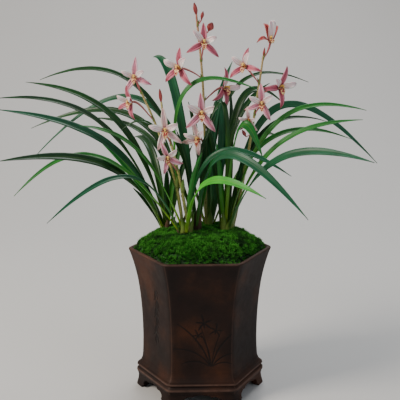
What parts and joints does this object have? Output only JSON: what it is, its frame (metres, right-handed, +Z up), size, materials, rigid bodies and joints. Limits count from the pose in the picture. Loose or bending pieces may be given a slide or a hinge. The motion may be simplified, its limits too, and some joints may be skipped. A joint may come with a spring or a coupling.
{
  "type": "potted orchid",
  "caption": "Flowering strap-leaved orchid with arching leaves and upright flower spikes, growing through moss in a six-sided stoneware pot on bracket feet.",
  "frame": {"origin": "under the middle of the plant's bounding box, on the plane the pot's feet stand on; the pot's own axis passes through it", "axes": "+Z up, -Y towards the front flat face of the pot, +X to the right seen from the front, through a corner of the hexagon"},
  "size_m": [0.5363, 0.3004, 0.5565],
  "materials": {
    "stoneware": "unglazed dark purple-brown stoneware, softly rubbed",
    "crock": "broken terracotta",
    "mix": "damp bark and grit",
    "moss": "living moss",
    "shoots": "waxy plant tissue",
    "leaves": "smooth leathery leaf",
    "stalks": "smooth stalk with red buds",
    "petals": "soft petals"
  },
  "bodies": {
    "root": {"pot": "stoneware", "drain_crock": "crock", "potting_mix": "mix", "moss": "moss", "rhizome": "shoots", "flower_01": "petals", "flower_02": "petals", "flower_03": "petals", "flower_04": "petals", "flower_05": "petals", "flower_06": "petals", "flower_07": "petals", "flower_08": "petals", "flower_09": "petals", "flower_10": "petals", "flower_11": "petals", "flower_12": "petals", "flower_13": "petals", "flower_14": "petals", "leaf_a1": "leaves", "leaf_a2": "leaves", "leaf_a3": "leaves", "leaf_a4": "leaves", "leaf_a5": "leaves", "leaf_a6": "leaves", "leaf_b1": "leaves", "leaf_b2": "leaves", "leaf_b3": "leaves", "leaf_b4": "leaves", "leaf_b5": "leaves", "leaf_b6": "leaves", "leaf_b7": "leaves", "leaf_b8": "leaves", "leaf_back1": "leaves", "leaf_back2": "leaves", "leaf_back3": "leaves", "leaf_c1": "leaves", "leaf_c2": "leaves", "leaf_c3": "leaves", "leaf_d1": "leaves", "leaf_d2": "leaves", "leaf_d3": "leaves", "leaf_d4": "leaves", "leaf_d5": "leaves", "leaf_d6": "leaves", "leaf_d7": "leaves", "leaf_e1": "leaves", "leaf_e2": "leaves", "leaf_e3": "leaves", "leaf_e4": "leaves", "leaf_e5": "leaves", "leaf_e6": "leaves", "leaf_e7": "leaves", "leaf_e8": "leaves", "leaf_e9": "leaves", "scape_centre": "stalks", "scape_inner": "stalks", "scape_left": "stalks", "scape_right": "stalks"}
  },
  "joints": []
}
